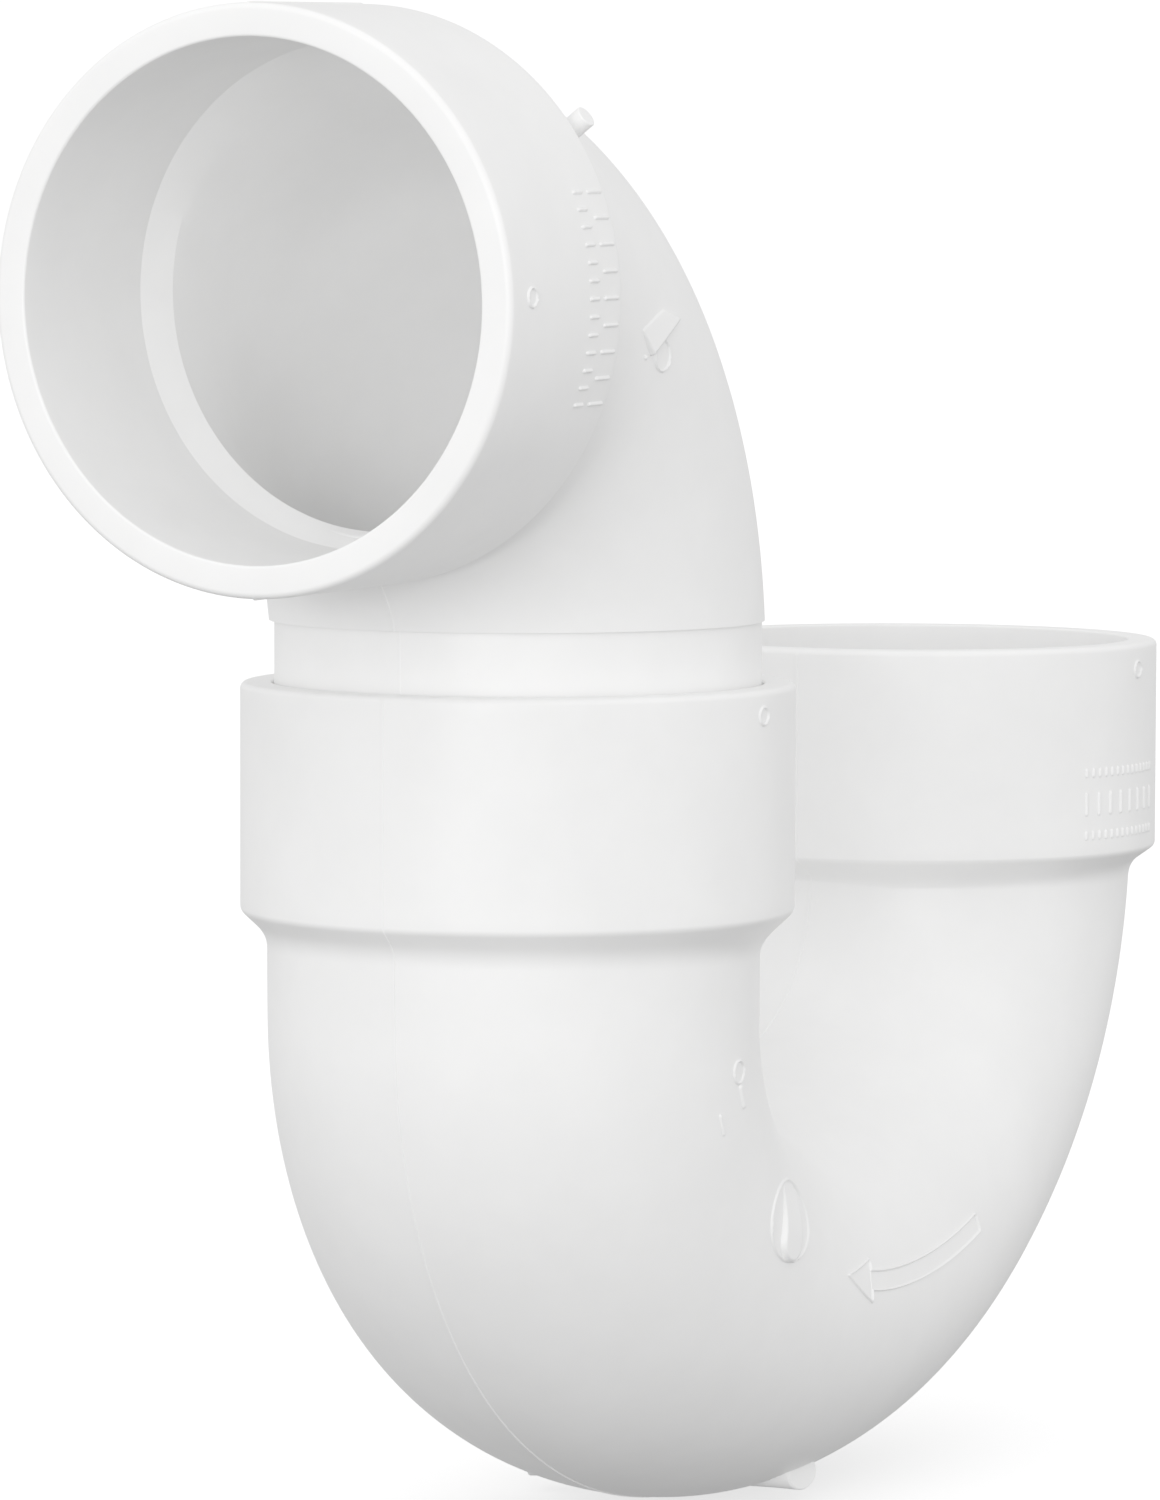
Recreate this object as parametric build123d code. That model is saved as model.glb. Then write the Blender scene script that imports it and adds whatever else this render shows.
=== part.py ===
from build123d import *
import os
from math import cos, radians, sin, sqrt

# A 3 inch PVC drain P trap in two solvent-weld mouldings, in millimetres.
# The return bend (u_bend) has a socket on each leg. The street elbow has a spigot, which
# stands in the bend's outlet-side socket, and a socket of its own, which points towards -X.
# Origin: the centre of the inlet socket's pipe stop. +Z points up, out of the inlet socket,
# and both mouldings share the parting plane Y = 0.

# ---- pipe sizes that the fitting is made to ----
PIPE_RADIUS = 44.45          # 3.500 inch pipe and spigot
SOCKET_RADIUS = 44.6         # mean radius of the slightly tapered 3.515 inch socket
SOCKET_DEPTH = 38.1          # 1.5 inch
HUB_RADIUS = 50.6            # outside of every hub

# ---- hub details ----
RIM_ROUND = 1.2              # outer edge of a rim
MOUTH_ROUND = 0.4            # inner edge of a rim
HUB_LENGTH = 41.6            # full radius length of a hub on the return bend
HUB_TAPER = 5.3              # length of the taper from the hub down to the tube
TAPER_LEDGE = 0.35           # the taper ends this far proud of the tube

# ---- return bend ----
LEG_SPACING = 166.4          # hub axis to hub axis
LEG_SHIFT = 1.5              # each leg stands this far outwards of its hub's axis
TUBE_HALF_WIDTH = 45.0       # across the bend's plane
TUBE_HALF_DEPTH = 44.85      # in the bend's plane, at the legs
BOTTOM_HALF_DEPTH = 38.8     # in the bend's plane, at the bottom
WALL = 5.3
LEG_TOP = 1.0                # height at which the bend's own tube starts inside each hub
LEG_STRAIGHT = 23.8          # straight length of the outlet-side leg
OUTLET_SWEEP = (70.85, 59.7)   # half axes of the quarter ellipse under the outlet-side leg
INLET_RISE = 83.5            # height of the quarter ellipse that rises to the inlet
STOP_TAPER = 5.0             # bevel from the socket's bottom down to the waterway
STOP_LEDGE = 0.35            # the bevel ends this much wider than the waterway
NARROW_START = 9.8           # path length over which the legs keep their full depth
NARROW_LENGTH = 104.0        # path length over which the outlet side narrows
WIDEN_LENGTH = 81.0          # path length over which the inlet side widens again

# ---- street elbow, as it stands in the bend ----
SHOULDER_GAP = 11.3          # shoulder above the hub rim: the spigot isn't pushed home
SPIGOT_LENGTH = 40.0
SPIGOT_CHAMFER = 1.5
ELBOW_RADIUS = 68.0          # centre-line radius of the quarter turn
ELBOW_TUBE_RADIUS = 45.06
OUTLET_HEIGHT = 71.7         # outlet axis above the hub rim, at the spigot's axis
OUTLET_REACH = 97.1          # spigot's axis to the outlet face
OUTLET_FALL = 1.2            # degrees: drainage fittings turn a quarter inch per foot
ELBOW_HUB_LENGTH = 40.1
ELBOW_TAPER_END = (47.9, 43.0)   # depth and radius at which the hub's taper is buried in the tube
ELBOW_STOP_TAPER = 6.4
ELBOW_STOP_RADIUS = 41.6
ELBOW_TURN_ANGLE = 80.0      # degrees of the turn that show above the shoulder
ELBOW_WATERWAY_RADII = (39.0, 39.1, 39.3, 39.6, 40.0, 40.4)
ELBOW_WATERWAY_STEP = 12.0   # degrees round the turn between those radii

# ---- moulding marks ----
RIDGE_HEIGHT = 0.25          # witness line of the parting plane
RIDGE_WIDTH = 0.7
SPIGOT_RIDGE_HEIGHT = 0.08   # kept low, so that the spigot still turns in its socket
RUNNER_ENDS = ((-107.5, 28.5), (-96.5, -26.5))   # x and y of the cut ends under the bend
RUNNER_Z = -116.2
RUNNER_RADIUS = 3.0
GATE_DEPTH = 45.5            # the elbow's cut gate, behind its face
GATE_ANGLE = 37.0            # degrees above the outlet's axis, on the -Y side
GATE_SPAN = (43.5, 51.5)     # distances from the outlet's axis, root and cut end
GATE_RADIUS = 2.0
OVERLAP = 1.0                # how far fused and cut shapes run past each other

OUTLET_LEG_X = -LEG_SPACING
RIM_Z = SOCKET_DEPTH
SHOULDER_Z = RIM_Z + SHOULDER_GAP
SPIGOT_END_Z = SHOULDER_Z - SPIGOT_LENGTH
OUTLET_AXIS_Z = RIM_Z + OUTLET_HEIGHT
TURN_CENTRE_X = OUTLET_LEG_X - ELBOW_RADIUS
TURN_CENTRE_Z = OUTLET_AXIS_Z - ELBOW_RADIUS


def disc(x, z, radius):
    """A horizontal circular face."""
    return Plane((x, 0, z)) * Circle(radius)


def upright(x, z_low, z_high, radius):
    """A vertical cylinder from one height to another."""
    return extrude(disc(x, z_low, radius), z_high - z_low)


def smooth_step(t):
    """0 to 1 with level ends."""
    t = min(max(t, 0.0), 1.0)
    return t * t * (3.0 - 2.0 * t)


def slab(thickness):
    """A plate on the parting plane, larger than the trap."""
    return Box(1000, thickness, 1000)


# ---------------------------------------------------------------- return bend
def bottom_x_of_bend():
    """Where the centre line is lowest."""
    return OUTLET_LEG_X - LEG_SHIFT + OUTLET_SWEEP[0]


def outlet_leg_x(z):
    """The straight leg's centre, the same at every height above the turn."""
    return OUTLET_LEG_X - LEG_SHIFT


def inlet_leg_x(z):
    """The curved leg's centre at a height, on the rising quarter ellipse."""
    reach = LEG_SHIFT - bottom_x_of_bend()
    below = (LEG_TOP - z) / INLET_RISE
    return bottom_x_of_bend() + reach * sqrt(1 - below * below)


def bend_path():
    """The tube's centre line: a straight leg and two quarter ellipses."""
    start_x = OUTLET_LEG_X - LEG_SHIFT
    end_x = LEG_SHIFT
    across, drop = OUTLET_SWEEP
    turn_z = LEG_TOP - LEG_STRAIGHT
    bottom_x = bottom_x_of_bend()
    bottom_z = turn_z - drop
    leg = Line((start_x, LEG_TOP), (start_x, turn_z))
    fall = EllipticalCenterArc((bottom_x, turn_z), across, drop, start_angle=180, arc_size=90)
    reach = end_x - bottom_x
    rise = EllipticalCenterArc((bottom_x, bottom_z + INLET_RISE), reach, INLET_RISE, start_angle=270, arc_size=90)
    return Plane.XZ * Wire([leg, fall, rise])


def half_depth(path_length, along):
    """The tube's half depth in the bend's plane, at a distance along the path."""
    narrowed = smooth_step((along - NARROW_START) / NARROW_LENGTH)
    widened = smooth_step((path_length - along) / WIDEN_LENGTH)
    return TUBE_HALF_DEPTH - (TUBE_HALF_DEPTH - BOTTOM_HALF_DEPTH) * min(narrowed, widened)


def bend_tube(grow):
    """The bend's tube, lofted through oval sections; grow moves its skin outwards."""
    path = bend_path()
    length = path.length
    straight_stations = [0.0, 0.5 * LEG_STRAIGHT, LEG_STRAIGHT]
    curved = length - LEG_STRAIGHT
    count = 14
    stations = straight_stations + [LEG_STRAIGHT + curved * i / count for i in range(1, count + 1)]
    sections = []
    for along in stations:
        place = path @ (along / length)
        heading = path % (along / length)
        outwards = Vector(heading.Z, 0, -heading.X)
        section = Plane(place, x_dir=outwards, z_dir=heading)
        sections.append(section * Ellipse(half_depth(length, along) + grow, TUBE_HALF_WIDTH + grow))
    return loft(sections)


def hub(x, leg_x_at, grow):
    """A hub's outside: full radius, then a taper that leads to the leg beside its axis."""
    low = RIM_Z - HUB_LENGTH
    shell = upright(x, low, RIM_Z, HUB_RADIUS + grow)
    if grow == 0:
        rim = shell.edges().sort_by(Axis.Z)[-1]
        shell = fillet(rim, RIM_ROUND)
    end_z = low - HUB_TAPER
    taper_end = disc(leg_x_at(end_z), end_z, TUBE_HALF_WIDTH + TAPER_LEDGE + grow)
    taper = loft([disc(x, low, HUB_RADIUS + grow), taper_end], ruled=True)
    return shell + taper


def socket(x, leg_x_at):
    """The space inside a hub: the pipe's bore, its eased mouth, and the stop's bevel."""
    bore = upright(x, 0, RIM_Z + OVERLAP, SOCKET_RADIUS)
    mouth = loft(
        [
            disc(x, RIM_Z - MOUTH_ROUND, SOCKET_RADIUS),
            disc(x, RIM_Z + OVERLAP, SOCKET_RADIUS + MOUTH_ROUND + OVERLAP),
        ],
        ruled=True,
    )
    throat = disc(leg_x_at(-STOP_TAPER), -STOP_TAPER, TUBE_HALF_WIDTH - WALL + STOP_LEDGE)
    bevel = loft([disc(x, 0, SOCKET_RADIUS), throat], ruled=True)
    return bore + mouth + bevel


def bend_outside(grow):
    """Both hubs and the tube between them, solid."""
    inlet = hub(0, inlet_leg_x, grow)
    outlet = hub(OUTLET_LEG_X, outlet_leg_x, grow)
    return bend_tube(grow) + inlet + outlet


def runner():
    """The runner under the bend, buried in the wall at the middle and cut off each side."""
    start, end = [Vector(x, y, RUNNER_Z) for x, y in RUNNER_ENDS]
    return extrude(Plane(start, z_dir=end - start) * Circle(RUNNER_RADIUS), (end - start).length)


def make_u_bend():
    ridge = bend_outside(RIDGE_HEIGHT) & slab(RIDGE_WIDTH)
    body = bend_outside(0) + ridge + runner()
    body -= bend_tube(-WALL)
    body -= socket(0, inlet_leg_x)
    body -= socket(OUTLET_LEG_X, outlet_leg_x)
    return body


# ---------------------------------------------------------------- street elbow
def outlet_plane(depth):
    """The plane across the outlet's axis, a distance behind the outlet's face."""
    fall = radians(OUTLET_FALL)
    out = Vector(-cos(fall), 0, -sin(fall))
    face_centre = Vector(OUTLET_LEG_X - OUTLET_REACH, 0, OUTLET_AXIS_Z - OUTLET_REACH * sin(fall) / cos(fall))
    return Plane(face_centre - out * depth, x_dir=(0, 1, 0), z_dir=out)


def turn_plane(angle):
    """The plane across the elbow's centre line, at an angle round its turn."""
    a = radians(angle)
    place = (TURN_CENTRE_X + ELBOW_RADIUS * cos(a), 0, TURN_CENTRE_Z + ELBOW_RADIUS * sin(a))
    return Plane(place, x_dir=(0, 1, 0), z_dir=(-sin(a), 0, cos(a)))


def turn(radius):
    """The elbow's round tube, above the shoulder."""
    section = turn_plane(0) * Circle(radius)
    axis = Axis((TURN_CENTRE_X, 0, TURN_CENTRE_Z), (0, -1, 0))
    swept = revolve(section, axis, ELBOW_TURN_ANGLE)
    below = Pos(OUTLET_LEG_X, 0, SHOULDER_Z - 100) * Box(400, 400, 200)
    return swept - below


def spigot(radius):
    """The plain end that stands in the bend's socket."""
    return upright(OUTLET_LEG_X, SPIGOT_END_Z, SHOULDER_Z + OVERLAP, radius)


def elbow_hub(grow):
    """The outlet hub's outside and its taper."""
    face = outlet_plane(ELBOW_HUB_LENGTH) * Circle(HUB_RADIUS + grow)
    shell = extrude(face, ELBOW_HUB_LENGTH)
    if grow == 0:
        rim = shell.edges().sort_by(Axis.X)[0]
        shell = fillet(rim, RIM_ROUND)
    back = outlet_plane(ELBOW_TAPER_END[0]) * Circle(ELBOW_TAPER_END[1] + grow)
    taper = loft([face, back], ruled=True)
    return shell + taper


def elbow_socket():
    """The outlet's bore, its eased mouth and the stop's long bevel."""
    bore = extrude(outlet_plane(SOCKET_DEPTH) * Circle(SOCKET_RADIUS), SOCKET_DEPTH + OVERLAP)
    mouth = loft(
        [
            outlet_plane(MOUTH_ROUND) * Circle(SOCKET_RADIUS),
            outlet_plane(-OVERLAP) * Circle(SOCKET_RADIUS + MOUTH_ROUND + OVERLAP),
        ],
        ruled=True,
    )
    stop = outlet_plane(SOCKET_DEPTH + ELBOW_STOP_TAPER) * Circle(ELBOW_STOP_RADIUS)
    bevel = loft([outlet_plane(SOCKET_DEPTH) * Circle(SOCKET_RADIUS), stop], ruled=True)
    return bore + mouth + bevel


def elbow_waterway():
    """The round waterway: straight in the spigot, then round the turn to the bevel's end."""
    sections = []
    for index, radius in enumerate(ELBOW_WATERWAY_RADII):
        sections.append(turn_plane(ELBOW_WATERWAY_STEP * index) * Circle(radius))
    stop_depth = SOCKET_DEPTH + ELBOW_STOP_TAPER
    sections.append(outlet_plane(stop_depth - 2 * OVERLAP) * Circle(ELBOW_STOP_RADIUS - STOP_LEDGE))
    straight = upright(OUTLET_LEG_X, SPIGOT_END_Z - OVERLAP, TURN_CENTRE_Z, ELBOW_WATERWAY_RADII[0])
    return loft(sections) + straight


def elbow_gate():
    """The cut gate behind the hub."""
    angle = radians(GATE_ANGLE)
    outwards = Vector(0, -cos(angle), sin(angle))
    root, tip = GATE_SPAN
    start = outlet_plane(GATE_DEPTH).origin + outwards * root
    return extrude(Plane(start, z_dir=outwards) * Circle(GATE_RADIUS), tip - root)


def make_street_elbow():
    end = spigot(PIPE_RADIUS)
    end = chamfer(end.edges().sort_by(Axis.Z)[0], SPIGOT_CHAMFER)
    outside = turn(ELBOW_TUBE_RADIUS) + end + elbow_hub(0) + elbow_gate()
    grown = turn(ELBOW_TUBE_RADIUS + RIDGE_HEIGHT) + elbow_hub(RIDGE_HEIGHT)
    spigot_ridge = spigot(PIPE_RADIUS + SPIGOT_RIDGE_HEIGHT) & slab(RIDGE_WIDTH)
    body = outside + (grown & slab(RIDGE_WIDTH)) + spigot_ridge
    body -= elbow_waterway()
    body -= elbow_socket()
    return body


NODES = {
    "u_bend": make_u_bend,
    "street_elbow": make_street_elbow,
}

os.makedirs("parts", exist_ok=True)
for name, make in NODES.items():
    solid = make()
    export_step(solid, f"parts/{name}.step")
    print(name, len(solid.solids()), "solid", round(solid.volume / 1000, 1), "cm3", solid.bounding_box())
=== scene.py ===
from math import cos, degrees, pi, radians, sin

import bmesh
import bpy
import numpy as np
from mathutils import Matrix, Vector


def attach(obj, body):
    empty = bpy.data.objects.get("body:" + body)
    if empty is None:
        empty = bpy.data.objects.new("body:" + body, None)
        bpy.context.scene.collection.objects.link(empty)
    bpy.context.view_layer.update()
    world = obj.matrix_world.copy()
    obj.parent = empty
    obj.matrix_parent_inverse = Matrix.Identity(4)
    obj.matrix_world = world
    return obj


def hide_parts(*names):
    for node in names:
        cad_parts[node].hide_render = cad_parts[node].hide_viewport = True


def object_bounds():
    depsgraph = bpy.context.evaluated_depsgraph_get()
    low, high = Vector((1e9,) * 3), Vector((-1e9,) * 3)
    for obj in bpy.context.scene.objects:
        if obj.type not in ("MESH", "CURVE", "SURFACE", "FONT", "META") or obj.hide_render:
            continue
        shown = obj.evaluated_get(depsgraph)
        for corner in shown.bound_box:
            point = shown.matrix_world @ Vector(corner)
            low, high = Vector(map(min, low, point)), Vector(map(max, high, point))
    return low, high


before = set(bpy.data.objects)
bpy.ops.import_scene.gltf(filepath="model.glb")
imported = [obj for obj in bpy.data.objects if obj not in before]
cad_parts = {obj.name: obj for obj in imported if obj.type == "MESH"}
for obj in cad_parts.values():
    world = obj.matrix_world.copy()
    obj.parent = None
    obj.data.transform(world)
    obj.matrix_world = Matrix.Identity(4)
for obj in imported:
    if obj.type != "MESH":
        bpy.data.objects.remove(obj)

# A 3 inch PVC P trap: a return bend and a street elbow that swivels in its outlet-side socket.
# Lengths are in millimetres in the pack's frame, except where a comment says metres; angles are in
# radians except where one says degrees. Meshes are written in metres.
CAD_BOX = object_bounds()
MM = 0.001
COLUMNS = 180                # about as many points lie round every ring of a moulding
BISECTIONS = 40

# ---- hubs and sockets, both mouldings ----
HUB_RADIUS = 50.6
HUB_RINGS = 22
HUB_EDGE_ROUND = 0.7         # where a hub's wall turns into its taper
EDGE_RINGS = 6
SOCKET_MOUTH_RADIUS = 44.85  # the real socket narrows a little towards its stop
SOCKET_STOP_RADIUS = 44.45
SOCKET_DEPTH = 38.1
RIM_ROUND = 1.2
RIM_STEPS = 10
MOUTH_ROUND = 0.5
MOUTH_STEPS = 9

# ---- return bend ----
RIM_Z = 38.1
OUTLET_LEG_X = -166.4        # the inlet leg's axis is x = 0
LEG_SHIFT = 1.5              # the tube's centre line lies this much outside each hub's axis
HUB_LOW_Z = -3.5
OUTLET_TAPER_SLOPE = 5.6 / 5.3
INLET_TAPER_SLOPE = 5.0 / 3.6
TAPER_FILLET = 2.4           # length of the soft fillet from a taper into the tube
TAPER_SHARES = (0.15, 0.28, 0.6)   # down a taper: its edge round ends, a plain ring, its fillet starts
FILLET_RINGS = 9
FILLET_HOLD = 0.12           # a ring this far past a fillet keeps the tube's shading clean
TUBE_START = 0.6             # the tube's own rings begin this far past a fillet
TUBE_RINGS = 170
BORE_RINGS = 110
TUBE_HALF_WIDTH = 45.0       # along Y
TUBE_HALF_DEPTH = 44.85      # in the bend's own plane
BOTTOM_HALF_DEPTH = 38.8
WALL = 5.3
LEG_TOP = 1.0
LEG_STRAIGHT = 23.8
OUTLET_SWEEP = (70.85, 59.7)       # half axes of the first quarter ellipse, along x and z
INLET_RISE = 83.5
STOP_BEVEL_Z = -5.0
NARROW_START = 9.8
NARROW_LENGTH = 104.0
WIDEN_LENGTH = 81.0
LEG_POINTS = 400             # of the centre line
QUARTER_POINTS = 1500
FOOT_SEARCH = (3.0, 22.0)    # distances from the end of the centre line between which a taper ends
OUTLET_STOP_SEARCH = 20.0
INLET_STOP_SEARCH = 30.0

# ---- street elbow ----
SHOULDER_Z = 49.4
SHOULDER_SEARCH = (0.0, radians(40))
SPIGOT_RADIUS = 44.4
SPIGOT_END_Z = 9.4
SPIGOT_CHAMFER = 1.5
SPIGOT_RINGS = 22
TURN_RADIUS = 68.0
TURN_TUBE_RADIUS = 45.06
TURN_CENTRE = (-234.4, 41.8)       # x and z
TURN_RINGS = 90
OUTLET_AXIS_Z = 109.8
OUTLET_REACH = 97.1
OUTLET_FALL = radians(1.2)
ELBOW_HUB_LENGTH = 40.1
ELBOW_TAPER_SLOPE = 5.2 / 5.3
ELBOW_TAPER_FILLET = 1.6     # shorter than the bend's: the elbow's hub ends in a crisp line
ELBOW_TAPER_SHARES = (0.12, 0.3, 0.6)
ELBOW_FILLET_RINGS = 7
ELBOW_TAPER_SEARCH = (radians(55), radians(88))
ELBOW_BEVEL_DEPTH = 44.5
ELBOW_BEVEL_RADIUS = 41.6
ELBOW_WATERWAY_RADII = (40.4, 40.0, 39.6, 39.3, 39.1, 39.0)
ELBOW_WATERWAY_STEP = 12.0   # degrees round the turn between those radii

# ---- parting lines of the moulds ----
RIDGE_HEIGHT = 0.22
RIDGE_HALF_WIDTH = 0.35
RIDGE_FLAT = 0.62            # share of its half width that is flat on top
RIDGE_FADE = 45.0            # degrees round a rim in which the ridge runs out
SPIGOT_RIDGE_HEIGHT = 0.06

# ---- cut runner under the bend, and the elbow's cut gate ----
RUNNER_ENDS = ((-107.5, 28.5), (-96.5, -26.5))   # x and y
RUNNER_Z = -116.2
RUNNER_RADIUS = 3.0
RUNNER_FLARE = 0.10
RUNNER_SLANT = 0.6
GATE_DEPTH = 45.5
GATE_ANGLE = radians(37.0)
GATE_SPAN = (43.5, 51.5)     # distances from the outlet's axis
GATE_RADIUS = 2.0
CUT_ROUND = 0.25
ROD_SIDES = 48
SLANT_FROM = 0.7             # share of a rod's length past which its end leans

# ---- raised marks ----
MARK_GRID = 0.25             # spacing of a mark's mesh
MARK_EDGE = 0.35             # half width of the slope round a mark
MARK_SUNK = 0.4              # how far a mark's skirt lies under the skin
MARK_BACK = 0.9              # how far its back lies under the skin
MARK_PROUD = 0.42
SLOPE_PROUD = 1.1            # the bar and the wedge would rise this far at their full slope
LINE_HALF_WIDTH = 0.32
TICK_HALF_WIDTH = 0.4
DOT_RADIUS = 1.6
WEDGE_CORNERS = ((76.5, -0.4), (71.2, -2.75), (64.7, 9.0), (70.6, 7.1))
WEDGE_SLOPE = 6.5
NEAR_SIDE = radians(270.0)   # the -Y side of a tube

# ---- surfaces ----
PVC_TINT = (0.87, 0.87, 0.865)
CLOUD_SHADE = 0.955          # the darkest of the colour's soft clouds, against its lightest
MOULDING_SHARP = 14.0        # degrees between faces past which an edge stays hard
MARK_SHARP = 75.0

# ---- room, lamps and camera: metres and watts ----
BACKDROP = 1.05              # brightness of the plain white room behind the object
FRONT = (-0.98, -0.16, 0.08)       # towards the brightest part of the room
ROOM_FRONT = 1.0
ROOM_BACK = 0.60
ROOM_BELOW = 0.03            # share of that light that comes from straight below
ROOM_FADE = (-0.85, 0.05)    # heights of a direction between which the light comes up to its full
KEY_PLACE = (-1.95, -1.15, 0.55)
KEY_TARGET = (-0.10, 0.0, 0.02)
KEY_SIZE = 1.4
KEY_POWER = 7.0
FILL_PLACE = (-2.25, -0.30, 0.18)
FILL_TARGET = (-0.16, 0.0, 0.10)
FILL_SIZE = 0.5
FILL_POWER = 6.0
SOCKET_LAMP_POWER = 3.8
SOCKET_LAMP_YAW = radians(19)
SOCKET_LAMP_RISE = 0.06
SOCKET_LAMP_REACH = 0.7
SOCKET_LAMP_SIZE = 0.06
SOCKET_LAMP_CONE = radians(9.0)
SOCKET_LAMP_BLEND = 0.75
VIEW_GAMMA = 1.8
FLOOR_HALF = 12.0
FLOOR_DROP = 0.0006
FLOOR_GLOW = 0.45
CAMERA_PLACE = (-1.3198, -0.6182, 0.1204)
CAMERA_TURN = (radians(27.695), radians(4.147), radians(0.165))   # yaw, downward pitch and roll
CAMERA_LENS = 172.70
CAMERA_SENSOR = 36.0


# ------------------------------------------------------------------ materials
def pvc_material(name, tint, seed):
    """Semi-gloss white PVC: faint flow mottling, rare specks, a patchy satin and fine moulded grain."""
    material = bpy.data.materials.new(name)
    material.use_nodes = True
    tree = material.node_tree
    nodes = tree.nodes
    nodes.clear()
    out = nodes.new("ShaderNodeOutputMaterial")
    shader = nodes.new("ShaderNodeBsdfPrincipled")
    shader.inputs["IOR"].default_value = 1.53
    shader.inputs["Subsurface Weight"].default_value = 0.12
    shader.inputs["Subsurface Radius"].default_value = (1.0, 0.95, 0.85)
    shader.inputs["Subsurface Scale"].default_value = 0.0012
    tree.links.new(shader.outputs["BSDF"], out.inputs["Surface"])

    coords = nodes.new("ShaderNodeTexCoord")
    place = nodes.new("ShaderNodeMapping")
    place.inputs["Location"].default_value = (seed, seed * 0.7, seed * 0.3)
    tree.links.new(coords.outputs["Object"], place.inputs["Vector"])

    def noise(scale, detail, rough):
        node = nodes.new("ShaderNodeTexNoise")
        node.inputs["Scale"].default_value = scale
        node.inputs["Detail"].default_value = detail
        node.inputs["Roughness"].default_value = rough
        tree.links.new(place.outputs["Vector"], node.inputs["Vector"])
        return node

    def ramp(height, low_at, low_colour, high_at, high_colour):
        node = nodes.new("ShaderNodeValToRGB")
        low, high = node.color_ramp.elements
        low.position, low.color = low_at, (*low_colour, 1.0)
        high.position, high.color = high_at, (*high_colour, 1.0)
        tree.links.new(height, node.inputs["Fac"])
        return node

    def bump(height, strength, distance):
        node = nodes.new("ShaderNodeBump")
        node.inputs["Strength"].default_value = strength
        node.inputs["Distance"].default_value = distance
        tree.links.new(height, node.inputs["Height"])
        return node

    # colour: large soft clouds of the compound, and rare tiny specks
    clouds = noise(48.0, 5.0, 0.62)
    shades = ramp(clouds.outputs["Fac"], 0.35, [c * CLOUD_SHADE for c in tint], 0.65, tint)
    specks = nodes.new("ShaderNodeTexVoronoi")
    specks.inputs["Scale"].default_value = 260.0
    tree.links.new(place.outputs["Vector"], specks.inputs["Vector"])
    rare = ramp(specks.outputs["Distance"], 0.0, (0.80, 0.79, 0.77), 0.045, (1.0, 1.0, 1.0))
    mix = nodes.new("ShaderNodeMix")
    mix.data_type = "RGBA"
    mix.blend_type = "MULTIPLY"
    mix.inputs[0].default_value = 0.35
    tree.links.new(shades.outputs["Color"], mix.inputs[6])
    tree.links.new(rare.outputs["Color"], mix.inputs[7])
    tree.links.new(mix.outputs[2], shader.inputs["Base Color"])

    # roughness: a moulded satin, broken by softer and glossier patches
    patches = noise(45.0, 3.0, 0.6)
    gloss = nodes.new("ShaderNodeMapRange")
    gloss.inputs["To Min"].default_value = 0.30
    gloss.inputs["To Max"].default_value = 0.46
    tree.links.new(patches.outputs["Fac"], gloss.inputs["Value"])
    tree.links.new(gloss.outputs["Result"], shader.inputs["Roughness"])

    # bump: slow sink marks and a fine grain from the tool's surface
    slow = bump(noise(60.0, 2.0, 0.5).outputs["Fac"], 0.25, 0.00018)
    fine = bump(noise(1400.0, 2.0, 0.6).outputs["Fac"], 0.18, 0.00002)
    tree.links.new(slow.outputs["Normal"], fine.inputs["Normal"])
    tree.links.new(fine.outputs["Normal"], shader.inputs["Normal"])
    return material


# --------------------------------------------------------------- ring meshes
def ring_angles():
    """Angles round a ring: even, with extra points beside the parting plane at 0 and 180 degrees."""
    edge = degrees(RIDGE_HALF_WIDTH / HUB_RADIUS)
    beside = [0.0, RIDGE_FLAT * edge, edge, 1.75 * edge]
    quarter = beside + list(np.linspace(2.5 * edge, 90.0, COLUMNS // 4))
    front = quarter + [180.0 - a for a in reversed(quarter[:-1])]
    full = front + [360.0 - a for a in reversed(front[1:-1])]
    return np.radians(np.array(full))


ANGLES = ring_angles()


def ridge_profile(height):
    """How far each column stands proud for the ridge on the parting plane."""
    off_plane = HUB_RADIUS * np.abs(np.arcsin(np.clip(np.sin(ANGLES), -1, 1)))
    across = 1.0 - (off_plane / RIDGE_HALF_WIDTH - RIDGE_FLAT) / (1.0 - RIDGE_FLAT)
    return height * np.clip(across, 0.0, 1.0)


def points(x, y, z):
    """Points from their coordinates, any of which may be a single number."""
    return np.stack(np.broadcast_arrays(x, y, z), axis=-1)


def mesh_from(name, corners, faces):
    """A mesh in metres from corners in millimetres."""
    mesh = bpy.data.meshes.new(name)
    mesh.from_pydata((corners.reshape(-1, 3) * MM).tolist(), [], faces)
    mesh.validate()
    mesh.update()
    return mesh


def quads(count, around, closed):
    """Faces from every ring to the next, and from the last to the first of a closed tube."""
    faces = []
    for i in range(count if closed else count - 1):
        j = (i + 1) % count
        for k in range(around):
            n = (k + 1) % around
            faces.append((i * around + k, i * around + n, j * around + n, j * around + k))
    return faces


def closed_mesh(name, rings):
    """A closed tube: a moulding's outside and its bore are one run of rings."""
    rings = np.array(rings)
    return mesh_from(name, rings, quads(len(rings), rings.shape[1], closed=True))


def capped_mesh(name, rings):
    """A tube with a flat cap on its first and last ring."""
    rings = np.array(rings)
    count, around, _ = rings.shape
    caps = [tuple(range(around)), tuple(range((count - 1) * around, count * around))]
    return mesh_from(name, rings, caps + quads(count, around, closed=False))


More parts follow.
